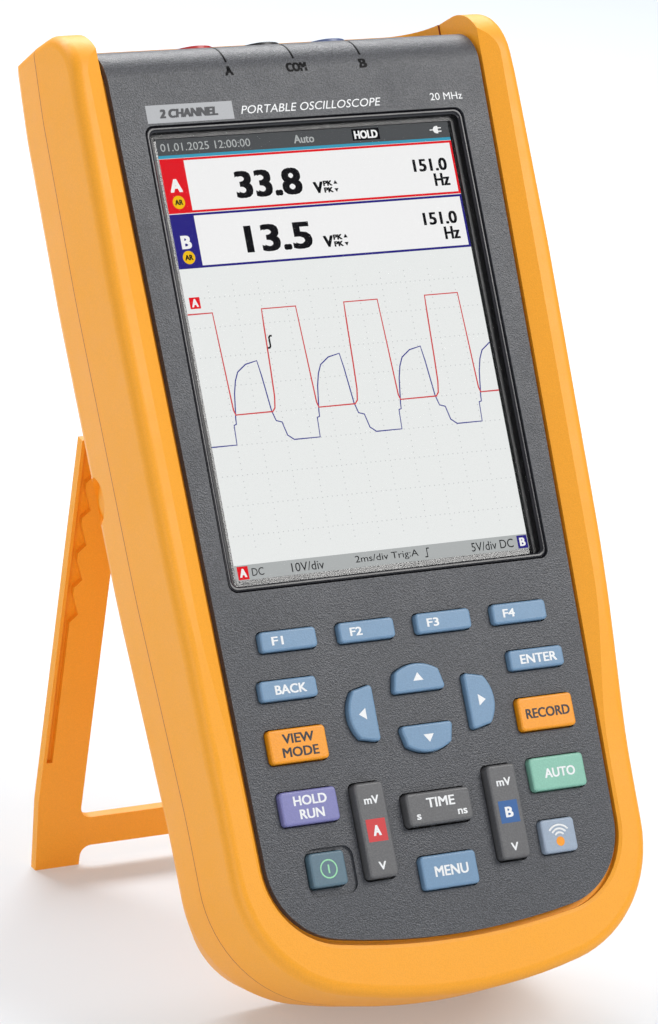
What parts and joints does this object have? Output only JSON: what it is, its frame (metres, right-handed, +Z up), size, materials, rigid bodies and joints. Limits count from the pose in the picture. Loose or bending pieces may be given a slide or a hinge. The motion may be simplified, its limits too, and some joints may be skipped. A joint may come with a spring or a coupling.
{
  "type": "handheld oscilloscope",
  "caption": "Portable two-channel oscilloscope with a portrait display, soft keypad, top sockets and a fold-out tilt stand.",
  "frame": {"origin": "centre of the bounding box on the floor, with the instrument standing on its open stand", "axes": "+X to the right as a user sees the display, -Y towards the user, +Z up"},
  "size_m": [0.132, 0.1746, 0.2368],
  "materials": {
    "yellow_shell": "soft-touch moulding, fine grain",
    "panel_grey": "textured moulding with a fine speckle",
    "clear_window": "clear hard-coated window",
    "black_rubber": "smooth black rubber",
    "display_glass": "lit display glass",
    "white_plastic": "diffuser sheets",
    "sheet_metal": "tinned sheet",
    "silicone": "translucent silicone",
    "circuit_board": "solder mask",
    "black_plastic": "black moulding",
    "dark_window": "dark infrared window",
    "red_plastic": "red moulding",
    "slate_blue_plastic": "slate blue moulding",
    "contact_metal": "plated contacts",
    "steel": "zinc plated",
    "module_metal": "plated can",
    "key_blue": "satin key plastic",
    "key_orange": "satin key plastic",
    "key_violet": "satin key plastic",
    "key_mint": "satin key plastic",
    "key_teal": "satin key plastic",
    "key_pale": "satin key plastic",
    "rocker_grey": "satin key plastic"
  },
  "bodies": {
    "case": {"backlight": "white_plastic", "battery_contacts": "contact_metal", "battery_door": "yellow_shell", "battery_pack": "black_plastic", "beeper": "black_plastic", "board_connector": "black_plastic", "board_screws": "steel", "card_socket": "sheet_metal", "case_screws": "steel", "case_seal": "black_rubber", "common_shroud": "black_plastic", "dc_pin": "contact_metal", "dc_socket": "black_plastic", "display_lens": "clear_window", "front_panel": "panel_grey", "front_shell": "yellow_shell", "input_a_shroud": "red_plastic", "input_b_shroud": "slate_blue_plastic", "input_shield": "sheet_metal", "keypad_board": "circuit_board", "keypad_mat": "silicone", "lcd_frame": "sheet_metal", "lcd_panel": "display_glass", "lens_gasket": "black_rubber", "logic_shield": "sheet_metal", "main_board": "circuit_board", "memory_card": "black_plastic", "optical_window": "dark_window", "rear_shell": "yellow_shell", "socket_sleeves": "contact_metal", "stand_pins": "steel", "wireless_module": "module_metal"},
    "key_auto": {"key_auto": "key_mint"},
    "key_back": {"key_back": "key_blue"},
    "key_down": {"key_down": "key_blue"},
    "key_enter": {"key_enter": "key_blue"},
    "key_f1": {"key_f1": "key_blue"},
    "key_f2": {"key_f2": "key_blue"},
    "key_f3": {"key_f3": "key_blue"},
    "key_f4": {"key_f4": "key_blue"},
    "key_hold": {"key_hold": "key_violet"},
    "key_left": {"key_left": "key_blue"},
    "key_menu": {"key_menu": "key_blue"},
    "key_mode": {"key_mode": "key_orange"},
    "key_power": {"key_power": "key_teal"},
    "key_record": {"key_record": "key_orange"},
    "key_right": {"key_right": "key_blue"},
    "key_up": {"key_up": "key_blue"},
    "key_wireless": {"key_wireless": "key_pale"},
    "rocker_range_a": {"rocker_range_a": "rocker_grey"},
    "rocker_range_b": {"rocker_range_b": "rocker_grey"},
    "rocker_time": {"rocker_time": "rocker_grey"},
    "tilt_stand": {"tilt_stand": "yellow_shell"},
    "door_screw_left": {"door_screw_left": "steel"},
    "door_screw_right": {"door_screw_right": "steel"}
  },
  "joints": [
    {"name": "stand_fold", "type": "hinge", "parent": "case", "child": "tilt_stand", "pos_m": [0, 0.04082, 0.13848], "axis": [1, 0, 0], "range_deg": [-37, 0]},
    {"name": "key_auto_press", "type": "slide", "parent": "case", "child": "key_auto", "axis": [0, 0.848, -0.5299], "range_m": [0, 0.001], "stiffness_N_per_m": 1500},
    {"name": "key_back_press", "type": "slide", "parent": "case", "child": "key_back", "axis": [0, 0.848, -0.5299], "range_m": [0, 0.001], "stiffness_N_per_m": 1500},
    {"name": "key_down_press", "type": "slide", "parent": "case", "child": "key_down", "axis": [0, 0.848, -0.5299], "range_m": [0, 0.001], "stiffness_N_per_m": 1500},
    {"name": "key_enter_press", "type": "slide", "parent": "case", "child": "key_enter", "axis": [0, 0.848, -0.5299], "range_m": [0, 0.001], "stiffness_N_per_m": 1500},
    {"name": "key_f1_press", "type": "slide", "parent": "case", "child": "key_f1", "axis": [0, 0.848, -0.5299], "range_m": [0, 0.001], "stiffness_N_per_m": 1500},
    {"name": "key_f2_press", "type": "slide", "parent": "case", "child": "key_f2", "axis": [0, 0.848, -0.5299], "range_m": [0, 0.001], "stiffness_N_per_m": 1500},
    {"name": "key_f3_press", "type": "slide", "parent": "case", "child": "key_f3", "axis": [0, 0.848, -0.5299], "range_m": [0, 0.001], "stiffness_N_per_m": 1500},
    {"name": "key_f4_press", "type": "slide", "parent": "case", "child": "key_f4", "axis": [0, 0.848, -0.5299], "range_m": [0, 0.001], "stiffness_N_per_m": 1500},
    {"name": "key_hold_press", "type": "slide", "parent": "case", "child": "key_hold", "axis": [0, 0.848, -0.5299], "range_m": [0, 0.001], "stiffness_N_per_m": 1500},
    {"name": "key_left_press", "type": "slide", "parent": "case", "child": "key_left", "axis": [0, 0.848, -0.5299], "range_m": [0, 0.001], "stiffness_N_per_m": 1500},
    {"name": "key_menu_press", "type": "slide", "parent": "case", "child": "key_menu", "axis": [0, 0.848, -0.5299], "range_m": [0, 0.001], "stiffness_N_per_m": 1500},
    {"name": "key_mode_press", "type": "slide", "parent": "case", "child": "key_mode", "axis": [0, 0.848, -0.5299], "range_m": [0, 0.001], "stiffness_N_per_m": 1500},
    {"name": "key_power_press", "type": "slide", "parent": "case", "child": "key_power", "axis": [0, 0.848, -0.5299], "range_m": [0, 0.001], "stiffness_N_per_m": 1500},
    {"name": "key_record_press", "type": "slide", "parent": "case", "child": "key_record", "axis": [0, 0.848, -0.5299], "range_m": [0, 0.001], "stiffness_N_per_m": 1500},
    {"name": "key_right_press", "type": "slide", "parent": "case", "child": "key_right", "axis": [0, 0.848, -0.5299], "range_m": [0, 0.001], "stiffness_N_per_m": 1500},
    {"name": "key_up_press", "type": "slide", "parent": "case", "child": "key_up", "axis": [0, 0.848, -0.5299], "range_m": [0, 0.001], "stiffness_N_per_m": 1500},
    {"name": "key_wireless_press", "type": "slide", "parent": "case", "child": "key_wireless", "axis": [0, 0.848, -0.5299], "range_m": [0, 0.001], "stiffness_N_per_m": 1500},
    {"name": "rocker_range_a_tilt", "type": "hinge", "parent": "case", "child": "rocker_range_a", "pos_m": [-0.0197, -0.06235, 0.05697], "axis": [1, 0, 0], "range_deg": [-4, 4], "stiffness_Nm_per_rad": 0.45},
    {"name": "rocker_range_b_tilt", "type": "hinge", "parent": "case", "child": "rocker_range_b", "pos_m": [0.0195, -0.06241, 0.05688], "axis": [1, 0, 0], "range_deg": [-4, 4], "stiffness_Nm_per_rad": 0.45},
    {"name": "rocker_time_tilt", "type": "hinge", "parent": "case", "child": "rocker_time", "pos_m": [-0.0003, -0.06044, 0.06002], "axis": [0, 0.5299, 0.848], "range_deg": [-4, 4], "stiffness_Nm_per_rad": 0.45},
    {"name": "door_screw_left_turn", "type": "hinge", "parent": "case", "child": "door_screw_left", "pos_m": [-0.025, -0.01283, 0.04206], "axis": [0, -0.848, 0.5299], "range_deg": [0, 90]},
    {"name": "door_screw_right_turn", "type": "hinge", "parent": "case", "child": "door_screw_right", "pos_m": [0.025, -0.01283, 0.04206], "axis": [0, -0.848, 0.5299], "range_deg": [0, 90]}
  ]
}
